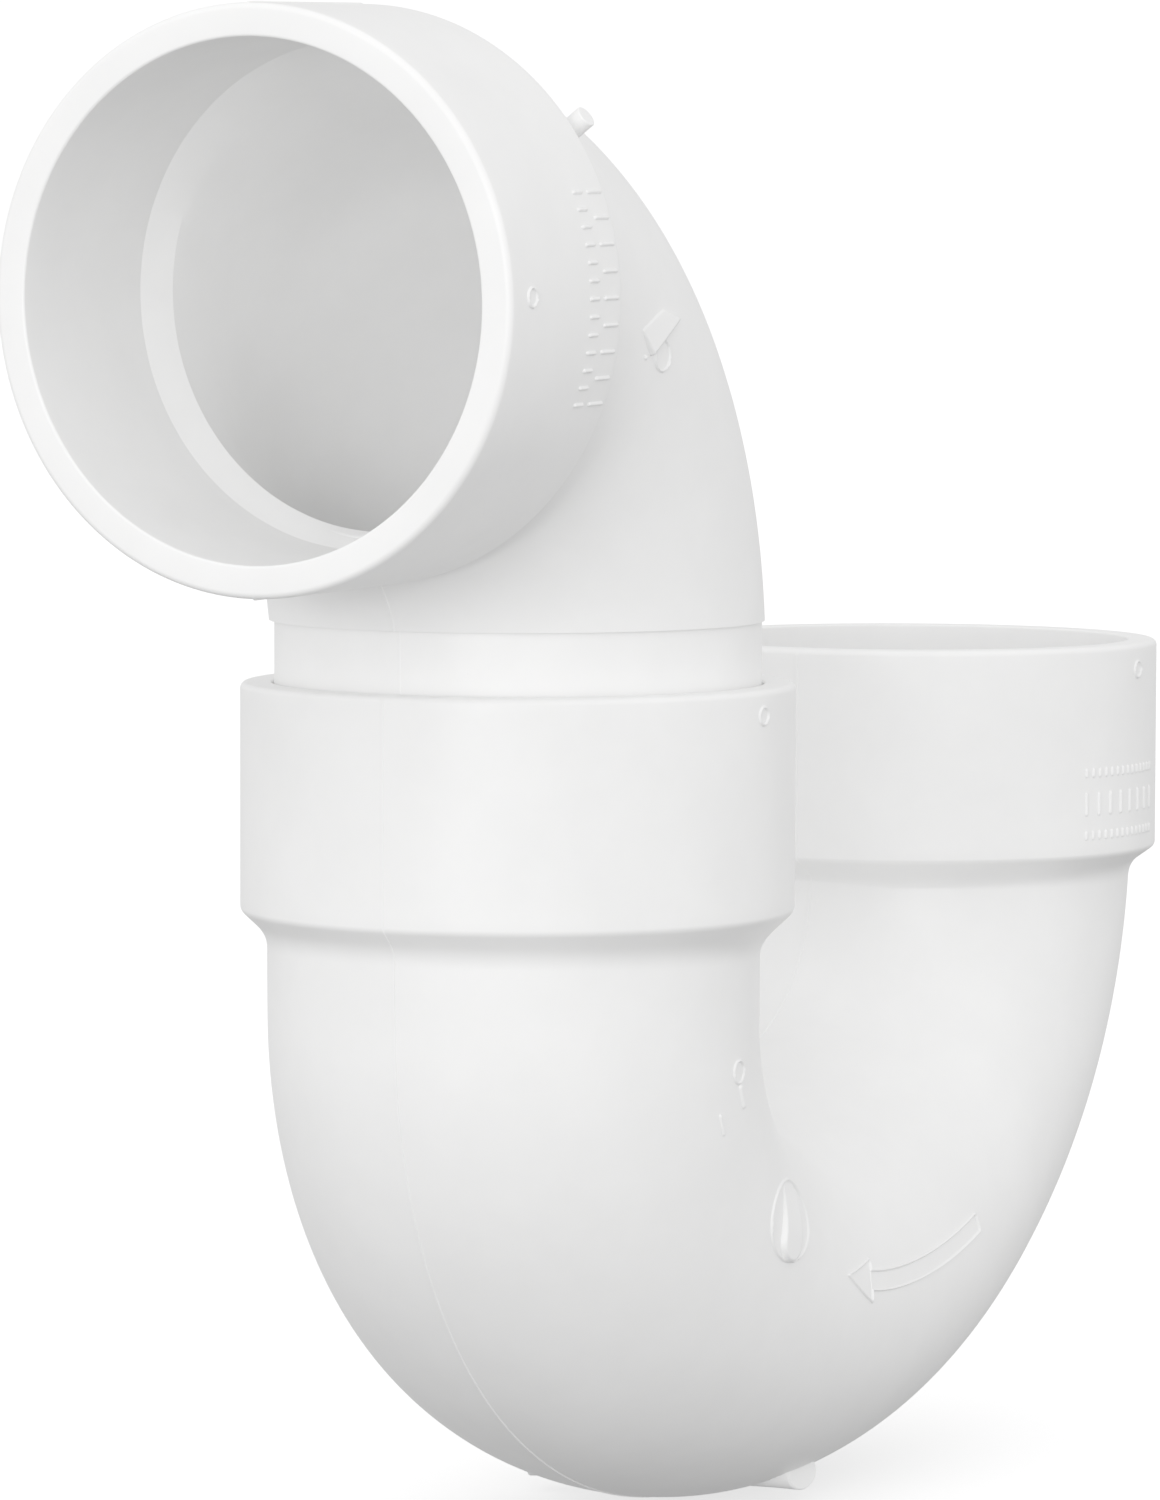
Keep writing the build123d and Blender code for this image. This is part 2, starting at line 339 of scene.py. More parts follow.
def object_from(name, mesh, material, sharp_angle):
    """A smooth-shaded object whose hard edges stay crisp."""
    piece = bpy.data.objects.new(name, mesh)
    bpy.context.scene.collection.objects.link(piece)
    bm = bmesh.new()
    bm.from_mesh(mesh)
    bmesh.ops.recalc_face_normals(bm, faces=bm.faces)
    for face in bm.faces:
        face.smooth = True
    limit = radians(sharp_angle)
    for edge in bm.edges:
        if len(edge.link_faces) == 2 and edge.calc_face_angle(0.0) > limit:
            edge.smooth = False
    bm.to_mesh(mesh)
    bm.free()
    mesh.materials.append(material)
    return piece


def solve(function, low, high):
    """Bisection for every column at once: function is negative at low and positive at high."""
    low = np.full(len(ANGLES), float(low))
    high = np.full(len(ANGLES), float(high))
    for _ in range(BISECTIONS):
        middle = 0.5 * (low + high)
        above = function(middle) > 0
        high = np.where(above, middle, high)
        low = np.where(above, low, middle)
    return 0.5 * (low + high)


def smooth_step(t):
    """An even S from 0 to 1."""
    t = np.clip(t, 0.0, 1.0)
    return t * t * (3.0 - 2.0 * t)


def along_columns(point, start, end, count):
    """Rings between two curves on a surface, each column going evenly from one to the other."""
    return [point(start + (end - start) * t) for t in np.linspace(0, 1, count)]


def curve_through_corner(start, corner, end, count):
    """Rings on a round curve that leaves start, leans towards the corner and reaches end."""
    steps = np.linspace(0, 1, count)
    return [(1 - t) ** 2 * start + 2 * t * (1 - t) * corner + t**2 * end for t in steps]


def taper_rings(wall, edge, foot, beyond, shares, fillet_rings):
    """A taper as rings: rounded off the hub's wall at its edge and filleted into the tube."""
    off_edge, plain, near_foot = [edge + (foot - edge) * share for share in shares]
    rounded = curve_through_corner(wall, edge, off_edge, EDGE_RINGS)
    return rounded + [plain] + curve_through_corner(near_foot, foot, beyond, fillet_rings)


def hub_profile(hub_length, face_rings, socket_rings):
    """Depth behind the rim, radius and share of the ridge: up a hub, over its rim, down to the stop."""
    wall = np.linspace(hub_length - HUB_EDGE_ROUND, RIM_ROUND, HUB_RINGS)[1:]
    profile = [(depth, HUB_RADIUS, 1.0) for depth in wall]
    for degree in np.linspace(9, 90, RIM_STEPS):
        a = radians(degree)
        share = max(0.0, 1 - degree / RIDGE_FADE)
        profile.append((RIM_ROUND * (1 - sin(a)), HUB_RADIUS - RIM_ROUND * (1 - cos(a)), share))
    face = np.linspace(HUB_RADIUS - RIM_ROUND, SOCKET_MOUTH_RADIUS + MOUTH_ROUND, face_rings + 2)
    profile += [(0.0, radius, 0.0) for radius in face[1:-1]]
    for a in np.linspace(pi / 2, 0, MOUTH_STEPS):
        profile.append((MOUTH_ROUND * (1 - sin(a)), SOCKET_MOUTH_RADIUS + MOUTH_ROUND * (1 - cos(a)), 0.0))
    for t in np.linspace(0, 1, socket_rings)[1:]:
        depth = MOUTH_ROUND + (SOCKET_DEPTH - MOUTH_ROUND) * t
        profile.append((depth, SOCKET_MOUTH_RADIUS + (SOCKET_STOP_RADIUS - SOCKET_MOUTH_RADIUS) * t, 0.0))
    return profile


# ---------------------------------------------------------------- return bend
def bend_path_points():
    """Dense points down the straight leg and round the two quarter ellipses."""
    start_x = OUTLET_LEG_X - LEG_SHIFT
    across, drop = OUTLET_SWEEP
    turn_z = LEG_TOP - LEG_STRAIGHT
    bottom_x = start_x + across
    bottom_z = turn_z - drop
    reach = LEG_SHIFT - bottom_x
    quarter = np.linspace(0, pi / 2, QUARTER_POINTS)[1:]
    down = [(start_x, z) for z in np.linspace(LEG_TOP, turn_z, LEG_POINTS)]
    fall = [(bottom_x - across * cos(a), turn_z - drop * sin(a)) for a in quarter]
    rise = [(bottom_x + reach * sin(a), bottom_z + INLET_RISE * (1 - cos(a))) for a in quarter]
    return np.array(down + fall + rise)


PATH = bend_path_points()
PATH_AT = np.concatenate(([0.0], np.cumsum(np.hypot(*np.diff(PATH, axis=0).T))))
PATH_LENGTH = PATH_AT[-1]
PATH_HEADING = np.gradient(PATH, PATH_AT, axis=0)


def bend_point(along, angle, inwards=0.0):
    """A point of the bend's tube: a path length, an angle from the outer side, a depth under the skin."""
    along = np.asarray(along, float)
    x = np.interp(along, PATH_AT, PATH[:, 0])
    z = np.interp(along, PATH_AT, PATH[:, 1])
    heading_x = np.interp(along, PATH_AT, PATH_HEADING[:, 0])
    heading_z = np.interp(along, PATH_AT, PATH_HEADING[:, 1])
    size = np.hypot(heading_x, heading_z)
    narrowed = smooth_step((along - NARROW_START) / NARROW_LENGTH)
    widened = smooth_step((PATH_LENGTH - along) / WIDEN_LENGTH)
    depth = TUBE_HALF_DEPTH - (TUBE_HALF_DEPTH - BOTTOM_HALF_DEPTH) * np.minimum(narrowed, widened)
    in_plane = (depth - inwards) * np.cos(angle)
    side = (TUBE_HALF_WIDTH - inwards) * np.sin(angle)
    return points(x + heading_z / size * in_plane, side, z - heading_x / size * in_plane)


def level_ring(x, side, z, radius, grow=0.0):
    """A level circle round a hub's axis; side is -1 at the outlet leg and 1 at the inlet leg."""
    reach = radius + grow
    return points(x + side * reach * np.cos(ANGLES), reach * np.sin(ANGLES), z)


def bend_mesh():
    """The whole return bend as one closed tube of rings."""
    ridge = ridge_profile(RIDGE_HEIGHT)

    def skin(along):
        return bend_point(along, ANGLES, inwards=-ridge)

    def bore(along):
        return bend_point(along, ANGLES, inwards=WALL)

    def outside_cone(along, x, slope):
        p = bend_point(along, ANGLES)
        cone = HUB_RADIUS - (HUB_LOW_Z - p[:, 2]) * slope
        return np.hypot(p[:, 0] - x, p[:, 1]) - cone

    def above_stop(along):
        return bore(along)[:, 2] - STOP_BEVEL_Z

    near, far = FOOT_SEARCH
    outlet_foot = solve(lambda s: outside_cone(s, OUTLET_LEG_X, OUTLET_TAPER_SLOPE), near, far)
    inlet_foot = solve(
        lambda s: -outside_cone(s, 0.0, INLET_TAPER_SLOPE), PATH_LENGTH - far, PATH_LENGTH - near
    )
    outlet_stop = solve(lambda s: -above_stop(s), 0.0, OUTLET_STOP_SEARCH)
    inlet_stop = solve(above_stop, PATH_LENGTH - INLET_STOP_SEARCH, PATH_LENGTH)

    def hub(x, side):
        profile = hub_profile(RIM_Z - HUB_LOW_Z, face_rings=2, socket_rings=16)
        return [level_ring(x, side, RIM_Z - depth, reach, ridge * share) for depth, reach, share in profile]

    def taper(x, side, foot_at):
        wall = level_ring(x, side, HUB_LOW_Z + HUB_EDGE_ROUND, HUB_RADIUS, ridge)
        edge = level_ring(x, side, HUB_LOW_Z, HUB_RADIUS, ridge)
        beyond = skin(foot_at - side * TAPER_FILLET)
        hold = skin(foot_at - side * (TAPER_FILLET + FILLET_HOLD))
        return taper_rings(wall, edge, skin(foot_at), beyond, TAPER_SHARES, FILLET_RINGS) + [hold]

    tube_from = TAPER_FILLET + TUBE_START
    rings = hub(0.0, 1)
    rings += along_columns(bore, inlet_stop, outlet_stop, BORE_RINGS)
    rings += reversed(hub(OUTLET_LEG_X, -1))
    rings += taper(OUTLET_LEG_X, -1, outlet_foot)
    rings += along_columns(skin, outlet_foot + tube_from, inlet_foot - tube_from, TUBE_RINGS)
    rings += reversed(taper(0.0, 1, inlet_foot))
    return closed_mesh("return_bend", rings)


# --------------------------------------------------------------- street elbow
OUT = np.array([-cos(OUTLET_FALL), 0.0, -sin(OUTLET_FALL)])
OUTLET_UP = np.array([-sin(OUTLET_FALL), 0.0, cos(OUTLET_FALL)])
SIDE = np.array([0.0, 1.0, 0.0])
OUTLET_FACE = np.array(
    [OUTLET_LEG_X - OUTLET_REACH, 0.0, OUTLET_AXIS_Z - OUTLET_REACH * sin(OUTLET_FALL) / cos(OUTLET_FALL)]
)


def turn_point(turn, angle, radius=TURN_TUBE_RADIUS):
    """A point on the elbow's round turn; angle 0 is the outer side."""
    reach = TURN_RADIUS + radius * np.cos(angle)
    x = TURN_CENTRE[0] + reach * np.cos(turn)
    z = TURN_CENTRE[1] + reach * np.sin(turn)
    return points(x, radius * np.sin(angle), z)


def outlet_ring(depth, radius, azimuths, grow=0.0):
    """A circle round the outlet's axis, a distance behind the face; azimuth 0 is its top."""
    outwards = np.cos(azimuths)[:, None] * OUTLET_UP + np.sin(azimuths)[:, None] * SIDE
    reach = (radius + grow) * np.ones(len(azimuths))
    return OUTLET_FACE - OUT * depth + reach[:, None] * outwards


def outlet_coordinates(places):
    """Depth behind the outlet's face, distance from its axis, and azimuth from its top."""
    offset = places - OUTLET_FACE
    up = offset @ OUTLET_UP
    side = offset @ SIDE
    return -offset @ OUT, np.hypot(up, side), np.arctan2(side, up)


def smooth_through(stations, count):
    """Rings on Catmull-Rom curves through the stations, column by column."""
    first = 2 * stations[0] - stations[1]
    last = 2 * stations[-1] - stations[-2]
    padded = [first] + stations + [last]
    rings = []
    for i in range(1, len(padded) - 2):
        a, b, c, d = padded[i - 1:i + 3]
        square = 2 * a - 5 * b + 4 * c - d
        cube = 3 * b - a - 3 * c + d
        for t in np.linspace(0, 1, count, endpoint=False):
            rings.append(0.5 * (2 * b + (c - a) * t + square * t**2 + cube * t**3))
    rings.append(stations[-1])
    return rings


def elbow_mesh():
    """The whole street elbow as one closed tube of rings."""
    ridge = ridge_profile(RIDGE_HEIGHT)
    spigot_ridge = ridge_profile(SPIGOT_RIDGE_HEIGHT)

    def spigot_ring(z, radius, grow=0.0):
        return level_ring(OUTLET_LEG_X, 1, z, radius, grow)

    def skin(turn):
        place = turn_point(turn, ANGLES)
        grown = turn_point(turn, ANGLES, TURN_TUBE_RADIUS + 1.0)
        return place + (grown - place) * ridge[:, None]

    def above_shoulder(turn):
        return turn_point(turn, ANGLES)[:, 2] - SHOULDER_Z

    def inside_cone(turn):
        depth, reach, _ = outlet_coordinates(turn_point(turn, ANGLES))
        return HUB_RADIUS - (depth - ELBOW_HUB_LENGTH) * ELBOW_TAPER_SLOPE - reach

    shoulder = solve(above_shoulder, *SHOULDER_SEARCH)
    foot_at = solve(inside_cone, *ELBOW_TAPER_SEARCH)
    beyond_at = foot_at - ELBOW_TAPER_FILLET / TURN_RADIUS
    _, _, azimuths = outlet_coordinates(turn_point(foot_at, ANGLES))
    azimuths = np.unwrap(azimuths)

    # spigot, from its end face up to the shoulder
    rings = [spigot_ring(SPIGOT_END_Z, SPIGOT_RADIUS - SPIGOT_CHAMFER)]
    for z in np.linspace(SPIGOT_END_Z + SPIGOT_CHAMFER, SHOULDER_Z, SPIGOT_RINGS):
        rings.append(spigot_ring(z, SPIGOT_RADIUS, spigot_ridge))

    # turn, taper and hub
    rings += along_columns(skin, shoulder, beyond_at, TURN_RINGS)
    wall = outlet_ring(ELBOW_HUB_LENGTH - HUB_EDGE_ROUND, HUB_RADIUS, azimuths, ridge)
    edge = outlet_ring(ELBOW_HUB_LENGTH, HUB_RADIUS, azimuths, ridge)
    taper = taper_rings(wall, edge, skin(foot_at), skin(beyond_at), ELBOW_TAPER_SHARES, ELBOW_FILLET_RINGS)
    rings += taper[-2::-1]
    for depth, radius, share in hub_profile(ELBOW_HUB_LENGTH, face_rings=1, socket_rings=18):
        rings.append(outlet_ring(depth, radius, azimuths, ridge * share))

    # bevel and waterway
    stations = [outlet_ring(ELBOW_BEVEL_DEPTH, ELBOW_BEVEL_RADIUS, azimuths)]
    last = len(ELBOW_WATERWAY_RADII) - 1
    for index, radius in enumerate(ELBOW_WATERWAY_RADII):
        turn = radians(ELBOW_WATERWAY_STEP * (last - index))
        stations.append(turn_point(turn, ANGLES, radius))
    rings += smooth_through(stations, 9)
    for z in np.linspace(TURN_CENTRE[1], SPIGOT_END_Z, 10)[1:]:
        rings.append(spigot_ring(z, ELBOW_WATERWAY_RADII[-1]))
    return closed_mesh("street_elbow", rings)


# ------------------------------------------------------------ runner and gate
def cut_rod(start, end, radius, flare=0.0, slant=0.0):
    """Rings of a rod left by a mould's feed: flared towards its ends, the far one cut at a slant."""
    start, end = np.array(start), np.array(end)
    length = np.linalg.norm(end - start)
    heading = (end - start) / length
    across = np.cross(heading, (0.0, 0.0, 1.0))
    across /= np.linalg.norm(across)
    over = np.cross(across, heading)
    half = []
    for a in np.linspace(pi / 2, 0, 4):
        half.append((CUT_ROUND * (1 - sin(a)), radius - CUT_ROUND * (1 - cos(a))))
    half += [(t * length, radius) for t in np.linspace(0.05, 0.5, 8)]
    profile = half + [(length - along, reach) for along, reach in reversed(half[:-1])]
    around = np.linspace(0, 2 * pi, ROD_SIDES, endpoint=False)
    circle = np.cos(around)[:, None] * across + np.sin(around)[:, None] * over
    rings = []
    for along, reach in profile:
        from_middle = abs(2 * along / length - 1)
        wide = reach * (1 + flare * from_middle**6)
        leaning = smooth_step((along / length - SLANT_FROM) / (1 - SLANT_FROM))
        pulled_back = slant * wide * leaning * (1 + np.cos(around))
        rings.append(start + heading * along + wide * circle - pulled_back[:, None] * heading)
    return rings


# ---------------------------------------------------------------- mark shapes
# A shape gives the distance from its outline at (u, v), negative inside it.
def bar(start, end, half_width):
    """A round-ended bar; a disc where its two ends are the same."""
    (x0, y0), (x1, y1) = start, end
    run = max((x1 - x0) ** 2 + (y1 - y0) ** 2, 1e-9)

    def distance(u, v):
        t = np.clip(((u - x0) * (x1 - x0) + (v - y0) * (y1 - y0)) / run, 0, 1)
        return np.hypot(u - x0 - t * (x1 - x0), v - y0 - t * (y1 - y0)) - half_width
    return distance


def from_line(u, v, start, end):
    """Distance to the left of the line from start to end."""
    (x0, y0), (x1, y1) = start, end
    return ((v - y0) * (x1 - x0) - (u - x0) * (y1 - y0)) / np.hypot(x1 - x0, y1 - y0)


def polygon(*corners):
    """A convex shape, its corners listed clockwise in u and v."""
    sides = list(zip(corners, corners[1:] + corners[:1]))

    def distance(u, v):
        return np.maximum.reduce([from_line(u, v, start, end) for start, end in sides])
    return distance


def outline(*shapes):
    """A line along the outline of the shapes joined together."""
    def distance(u, v):
        joined = np.minimum.reduce([shape(u, v) for shape in shapes])
        return np.abs(joined) - LINE_HALF_WIDTH
    return distance


def circle_line(centre, radius):
    """A ring."""
    return outline(bar(centre, centre, radius))


def oval(centre, long, short):
    """An oval, its long axis along u."""
    def distance(u, v):
        return (np.hypot((u - centre[0]) / long, (v - centre[1]) / short) - 1) * short
    return distance


def ticks(first, last, count, low, high):
    """A row of upright strokes, evenly spaced in u."""
    return [bar((u, low), (u, high), TICK_HALF_WIDTH) for u in np.linspace(first, last, count)]


def level_top(u, v):
    """The height of a plain mark."""
    return MARK_PROUD


def raised_mark(name, surface, low, high, shapes):
    """A closed plate from low to high that follows surface(u, v, height), proud inside each shape.

    Each item of shapes is a shape, or a pair of one and a function for its height.
    """
    us = np.linspace(low[0], high[0], int((high[0] - low[0]) / MARK_GRID) + 1)
    vs = np.linspace(low[1], high[1], int((high[1] - low[1]) / MARK_GRID) + 1)
    u, v = np.meshgrid(us, vs, indexing="ij")
    height = np.full(u.shape, -MARK_SUNK)
    for shape in shapes:
        distance, proud = shape if isinstance(shape, tuple) else (shape, level_top)
        inside = smooth_step((MARK_EDGE - distance(u, v)) / (2 * MARK_EDGE))
        height = np.maximum(height, -MARK_SUNK + (proud(u, v) + MARK_SUNK) * inside)
    front = surface(u, v, height)
    back = surface(u, v, np.full(u.shape, -MARK_BACK))
    rows, cols = u.shape
    offset = rows * cols
    faces = []
    for i in range(rows - 1):
        for k in range(cols - 1):
            a, b = i * cols + k, (i + 1) * cols + k
            faces.append((a, b, b + 1, a + 1))
            faces.append((a + offset, a + 1 + offset, b + 1 + offset, b + offset))
    rim = list(range(cols)) + [i * cols + cols - 1 for i in range(1, rows)]
    rim += [(rows - 1) * cols + k for k in range(cols - 2, -1, -1)]
    rim += [i * cols for i in range(rows - 2, 0, -1)]
    for a, b in zip(rim, rim[1:] + rim[:1]):
        faces.append((a, b, b + offset, a + offset))
    return mesh_from(name, np.concatenate([front, back]), faces)


# ------------------------------------------------- surfaces that marks lie on
def on_bend_side(u, v, height):
    """u is the path length down the bend, v the distance outwards from its -Y side."""
    return bend_point(u, NEAR_SIDE + v / TUBE_HALF_WIDTH, inwards=-height)


def on_bend_facing(u, v, height):
    """u is x and v is z: the mark is seen square along Y, as the tool's pins make it."""
    along = np.empty(u.shape)
    for row in range(len(u)):
        gaps = (u[row][:, None] - PATH[:, 0]) ** 2 + (v[row][:, None] - PATH[:, 1]) ** 2
        along[row] = PATH_AT[np.argmin(gaps, axis=1)]
    middle = bend_point(along, NEAR_SIDE)
    outer = bend_point(along, 0.0)
    depth = np.hypot(outer[..., 0] - middle[..., 0], outer[..., 2] - middle[..., 2])
    towards = (outer - middle) / depth[..., None]
    offset = (u - middle[..., 0]) * towards[..., 0] + (v - middle[..., 2]) * towards[..., 2]
    return bend_point(along, 2 * pi - np.arccos(offset / depth), inwards=-height)


def on_hub(x):
    """u runs round a hub from its -Y side towards +X, v is the height."""
    def surface(u, v, height):
        angle = NEAR_SIDE + u / HUB_RADIUS
        reach = HUB_RADIUS + height
        return points(x + reach * np.cos(angle), reach * np.sin(angle), v)
    return surface


def on_elbow_hub(u, v, height):
    """u runs round the outlet's hub from its -Y side upwards, v is the depth behind its face."""
    angle = (u / HUB_RADIUS)[..., None]
    outwards = np.sin(angle) * OUTLET_UP - np.cos(angle) * SIDE
    return OUTLET_FACE - OUT * v[..., None] + (HUB_RADIUS + height)[..., None] * outwards


def on_turn(u, v, height):
    """u runs up the elbow's turn along its centre line, v outwards from its -Y side."""
    return turn_point(u / TURN_RADIUS, NEAR_SIDE + v / TURN_TUBE_RADIUS, TURN_TUBE_RADIUS + height)


# ----------------------------------------------------------------- assembling
# A moulding is a material, the body its pieces ride with and their slot.
BEND = (pvc_material("bend_pvc", PVC_TINT, 3.1), "return_bend", "bend_pvc")
ELBOW = (pvc_material("elbow_pvc", PVC_TINT, 7.7), "outlet_elbow", "elbow_pvc")


def add_piece(moulding, name, mesh, sharp_angle=MOULDING_SHARP):
    """A piece of a moulding, riding with its body."""
    material, body, slot_name = moulding
    piece = object_from(name, mesh, material, sharp_angle)
    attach(piece, body)
    return piece


def add_mark(moulding, name, surface, low, high, shapes):
    """A raised mark of a moulding; low and high are its plate's corners in u and v."""
    add_piece(moulding, name, raised_mark(name, surface, low, high, shapes), MARK_SHARP)


def cut_feeds():
    """The runner left under the bend and the gate left on the elbow."""
    start, end = [(x, y, RUNNER_Z) for x, y in RUNNER_ENDS]
    runner = cut_rod(start, end, RUNNER_RADIUS, RUNNER_FLARE, RUNNER_SLANT)
    add_piece(BEND, "cut_runner", capped_mesh("cut_runner", runner))
    outwards = OUTLET_UP * sin(GATE_ANGLE) - SIDE * cos(GATE_ANGLE)
    root, tip = [OUTLET_FACE - OUT * GATE_DEPTH + outwards * reach for reach in GATE_SPAN]
    gate = cut_rod(root, tip, GATE_RADIUS)
    add_piece(ELBOW, "cut_gate", capped_mesh("cut_gate", gate))


def bend_marks():
    """Ring and bar, flow arrow and small marks on the bend's near side and its hubs."""
    def bar_height(x, z):
        return SLOPE_PROUD * smooth_step((-52.0 - z) / 12.0)

    ring = outline(oval((-143.3, -60.8), 9.0, 7.4))
    sloped_bar = (bar((-142.0, -56.4), (-144.6, -64.4), 3.7), bar_height)
    add_mark(BEND, "bend_ring_mark", on_bend_facing, (-154.5, -70.5), (-130.5, -50.0), [ring, sloped_bar])

    head = polygon((103.0, -6.3), (114.0, -1.6), (114.0, -11.0))
    shaft = polygon((113.5, -8.4), (113.5, -4.2), (165.0, -4.2), (165.0, -8.4))
    add_mark(BEND, "bend_flow_arrow", on_bend_side, (101.5, -12.5), (166.5, -0.1), [outline(head, shaft)])

    small = [circle_line((32.3, -1.4), 2.1), bar((35.4, -1.5), (39.0, -1.9), 0.75)]
    add_mark(BEND, "bend_cavity_mark", on_bend_side, (28.5, -5.0), (41.0, 2.0), small)
    dash = bar((37.8, 6.8), (41.0, 6.6), TICK_HALF_WIDTH)
    add_mark(BEND, "bend_dash_mark", on_bend_side, (36.5, 5.5), (42.5, 8.0), [dash])

    dot = circle_line((-1.3, 33.5), DOT_RADIUS)
    add_mark(BEND, "outlet_hub_dot", on_hub(OUTLET_LEG_X), (-4.0, 30.5), (1.5, 36.5), [dot])
    dot = circle_line((0.9, 33.0), DOT_RADIUS)
    add_mark(BEND, "inlet_hub_dot", on_hub(0.0), (-2.0, 30.0), (4.0, 36.0), [dot])
    rows = []
    for count, low, high in ((14, 12.6, 13.8), (8, 5.0, 9.0), (14, 0.2, 1.4)):
        rows += ticks(-17.5, 8.5, count, low, high)
    add_mark(BEND, "inlet_hub_ticks", on_hub(0.0), (-19.0, -1.0), (10.0, 15.0), rows)


def elbow_marks():
    """Wedge, ring and point on the turn, ticks and a dot on the hub."""
    def wedge_height(u, v):
        low_side = from_line(u, v, WEDGE_CORNERS[2], WEDGE_CORNERS[1])
        return SLOPE_PROUD * np.clip(1 - low_side / WEDGE_SLOPE, 0.0, 1.0)

    wedge = (polygon(*WEDGE_CORNERS), wedge_height)
    ring = circle_line((67.3, -0.4), 2.8)
    point = bar((72.6, -3.9), (72.6, -3.9), 0.5)
    add_mark(ELBOW, "turn_wedge_mark", on_turn, (61.5, -6.0), (78.5, 11.0), [wedge, ring, point])

    rows = ticks(-18.5, 18.5, 13, 28.6, 31.4) + ticks(-18.5, 18.5, 9, 33.8, 38.4)
    add_mark(ELBOW, "elbow_hub_ticks", on_elbow_hub, (-20.0, 27.2), (20.0, 39.7), rows)
    dot = circle_line((0.9, 7.5), DOT_RADIUS)
    add_mark(ELBOW, "elbow_hub_dot", on_elbow_hub, (-2.0, 4.5), (4.0, 10.5), [dot])


bend = add_piece(BEND, "return_bend_moulding", bend_mesh())
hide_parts("u_bend")
elbow = add_piece(ELBOW, "street_elbow_moulding", elbow_mesh())
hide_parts("street_elbow")
cut_feeds()
bend_marks()
elbow_marks()


# ---------------------------------------------------------------------- stage
def stage_floor():
    """A pale floor that the bend's underside just clears."""
    low, _ = CAD_BOX
    mesh = bpy.data.meshes.new("floor")
    sides = ((-1, -1), (1, -1), (1, 1), (-1, 1))
    corners = [(x * FLOOR_HALF, y * FLOOR_HALF, low.z - FLOOR_DROP) for x, y in sides]
    mesh.from_pydata(corners, [], [(0, 1, 2, 3)])
    floor = bpy.data.objects.new("floor", mesh)
    bpy.context.scene.collection.objects.link(floor)
    material = bpy.data.materials.new("floor_paper")
    material.use_nodes = True
    shader = material.node_tree.nodes["Principled BSDF"]
    shader.inputs["Base Color"].default_value = (0.85, 0.85, 0.85, 1.0)
    shader.inputs["Emission Color"].default_value = (1.0, 1.0, 1.0, 1.0)
    shader.inputs["Emission Strength"].default_value = FLOOR_GLOW
    shader.inputs["Roughness"].default_value = 0.9
    mesh.materials.append(material)
    # the light from below comes from the world's lower half, not from the floor
    floor.visible_diffuse = False
    floor.visible_glossy = False
    floor.visible_shadow = False


def place_light(data, place, direction):
    """A lamp at a place, shining in a direction."""
    light = bpy.data.objects.new(data.name, data)
    light.location = place
    light.rotation_mode = "QUATERNION"
    light.rotation_quaternion = direction.to_track_quat("-Z", "Y")
    bpy.context.scene.collection.objects.link(light)


def area_light(name, place, target, size, power):
    """A square soft lamp that faces its target."""
    data = bpy.data.lights.new(name, "AREA")
    data.shape = "SQUARE"
    data.size = size
    data.energy = power
    place_light(data, place, Vector(target) - Vector(place))


def socket_lamp():
    """A small soft spot that looks into the open socket from beside the camera."""
    data = bpy.data.lights.new("socket_lamp", "SPOT")
    data.energy = SOCKET_LAMP_POWER
    data.shadow_soft_size = SOCKET_LAMP_SIZE
    data.spot_size = SOCKET_LAMP_CONE
    data.spot_blend = SOCKET_LAMP_BLEND
    away = Vector((-cos(SOCKET_LAMP_YAW), -sin(SOCKET_LAMP_YAW), SOCKET_LAMP_RISE))
    place_light(data, Vector(OUTLET_FACE * MM) + away * SOCKET_LAMP_REACH, -away)


def room_light(tree):
    """Strength of the room's light by direction: brightest in front, dim behind and below."""
    direction = tree.nodes.new("ShaderNodeTexCoord")
    facing = tree.nodes.new("ShaderNodeVectorMath")
    facing.operation = "DOT_PRODUCT"
    facing.inputs[1].default_value = FRONT
    tree.links.new(direction.outputs["Generated"], facing.inputs[0])
    around = tree.nodes.new("ShaderNodeMapRange")
    around.inputs["From Min"].default_value = -1.0
    around.inputs["To Min"].default_value = ROOM_BACK
    around.inputs["To Max"].default_value = ROOM_FRONT
    tree.links.new(facing.outputs["Value"], around.inputs["Value"])
    split = tree.nodes.new("ShaderNodeSeparateXYZ")
    tree.links.new(direction.outputs["Generated"], split.inputs["Vector"])
    below = tree.nodes.new("ShaderNodeMapRange")
    below.interpolation_type = "SMOOTHSTEP"
    below.inputs["From Min"].default_value = ROOM_FADE[0]
    below.inputs["From Max"].default_value = ROOM_FADE[1]
    below.inputs["To Min"].default_value = ROOM_BELOW
    tree.links.new(split.outputs["Z"], below.inputs["Value"])
    both = tree.nodes.new("ShaderNodeMath")
    both.operation = "MULTIPLY"
    tree.links.new(around.outputs["Result"], both.inputs[0])
    tree.links.new(below.outputs["Result"], both.inputs[1])
    return both.outputs["Value"]


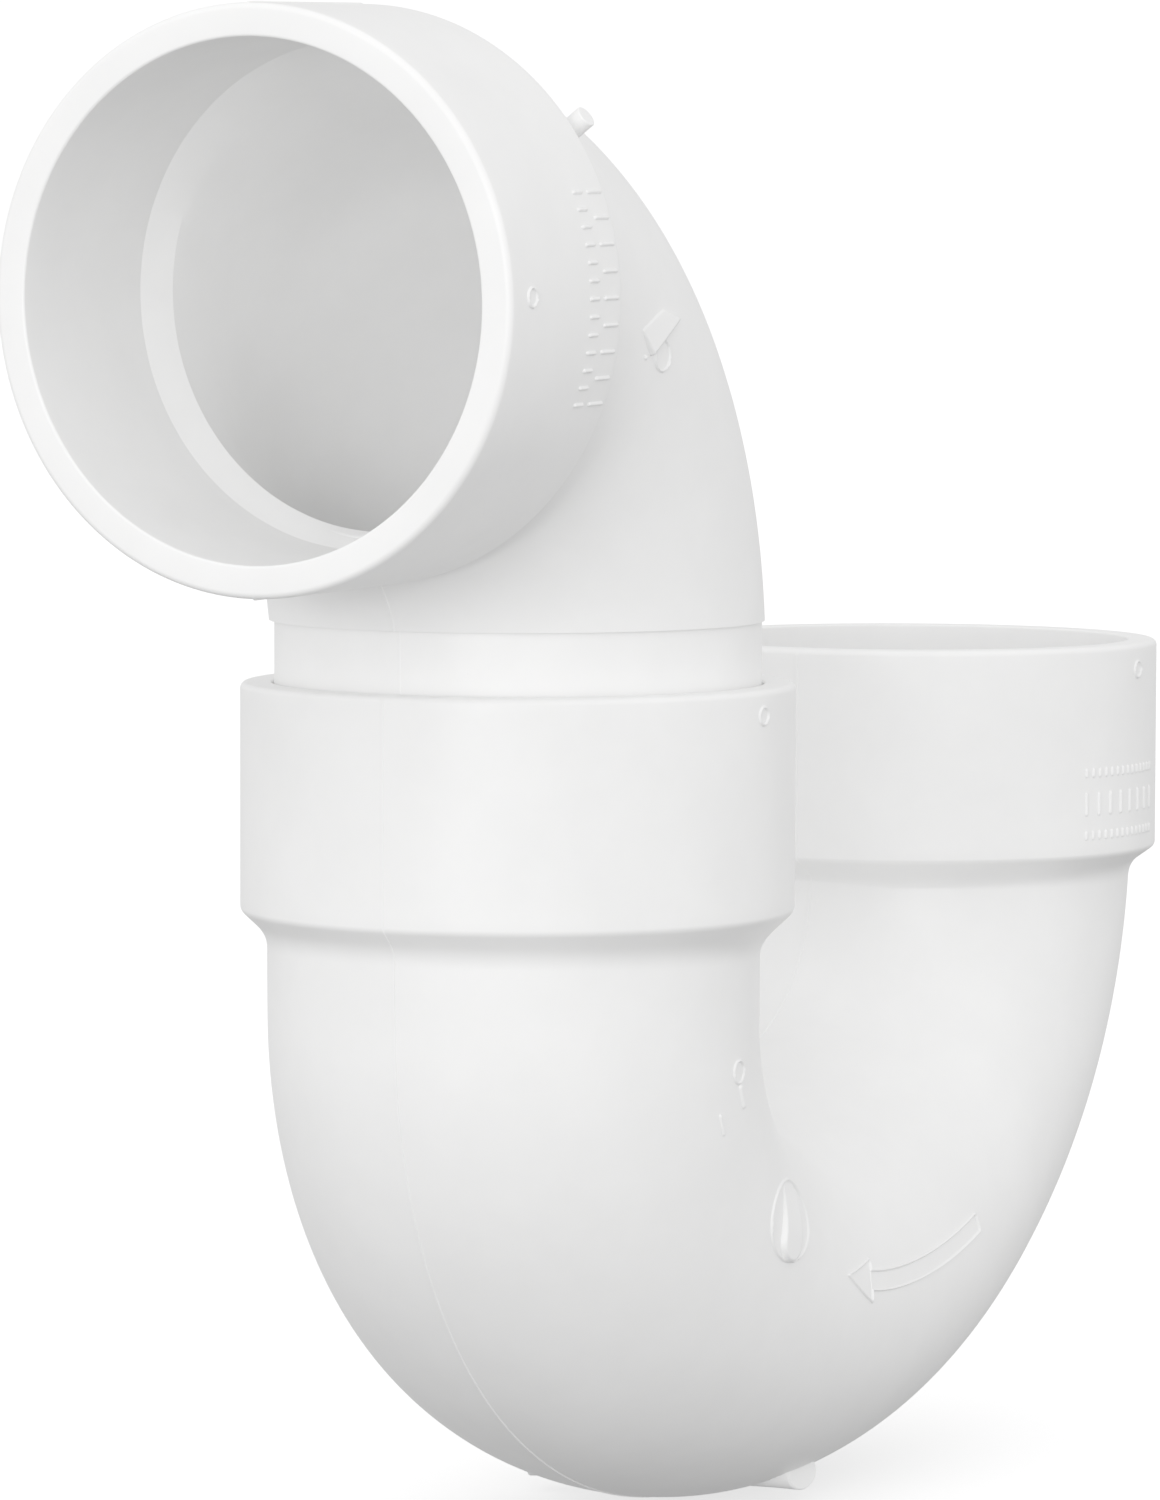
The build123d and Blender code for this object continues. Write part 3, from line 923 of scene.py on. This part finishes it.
def studio():
    """A plain white room with soft light from the front, two broad lamps and a small one."""
    world = bpy.data.worlds.new("studio")
    world.use_nodes = True
    tree = world.node_tree
    light = tree.nodes["Background"]
    light.inputs["Color"].default_value = (1.0, 1.0, 1.0, 1.0)
    tree.links.new(room_light(tree), light.inputs["Strength"])
    backdrop = tree.nodes.new("ShaderNodeBackground")
    backdrop.inputs["Color"].default_value = (1.0, 1.0, 1.0, 1.0)
    backdrop.inputs["Strength"].default_value = BACKDROP
    ray = tree.nodes.new("ShaderNodeLightPath")
    choose = tree.nodes.new("ShaderNodeMixShader")
    tree.links.new(ray.outputs["Is Camera Ray"], choose.inputs[0])
    tree.links.new(light.outputs["Background"], choose.inputs[1])
    tree.links.new(backdrop.outputs["Background"], choose.inputs[2])
    tree.links.new(choose.outputs["Shader"], tree.nodes["World Output"].inputs["Surface"])
    bpy.context.scene.world = world
    bpy.context.scene.view_settings.view_transform = "Standard"
    bpy.context.scene.view_settings.gamma = VIEW_GAMMA
    area_light("key", KEY_PLACE, KEY_TARGET, KEY_SIZE, KEY_POWER)
    area_light("fill", FILL_PLACE, FILL_TARGET, FILL_SIZE, FILL_POWER)
    socket_lamp()


def camera():
    """The photo's camera, as solved from the outlines."""
    data = bpy.data.cameras.new("camera")
    data.sensor_width = CAMERA_SENSOR
    data.sensor_fit = "AUTO"
    data.lens = CAMERA_LENS
    data.clip_start = 0.05
    data.clip_end = 60.0
    view = bpy.data.objects.new("camera", data)
    view.location = CAMERA_PLACE
    yaw, pitch, roll = CAMERA_TURN
    forward = Vector((cos(yaw) * cos(pitch), sin(yaw) * cos(pitch), -sin(pitch)))
    level = Vector((sin(yaw), -cos(yaw), 0.0))
    upright = level.cross(forward)
    right = level * cos(roll) + upright * sin(roll)
    up = upright * cos(roll) - level * sin(roll)
    view.rotation_mode = "QUATERNION"
    view.rotation_quaternion = Matrix((right, up, -forward)).transposed().to_quaternion()
    bpy.context.scene.collection.objects.link(view)
    bpy.context.scene.camera = view


stage_floor()
studio()
camera()
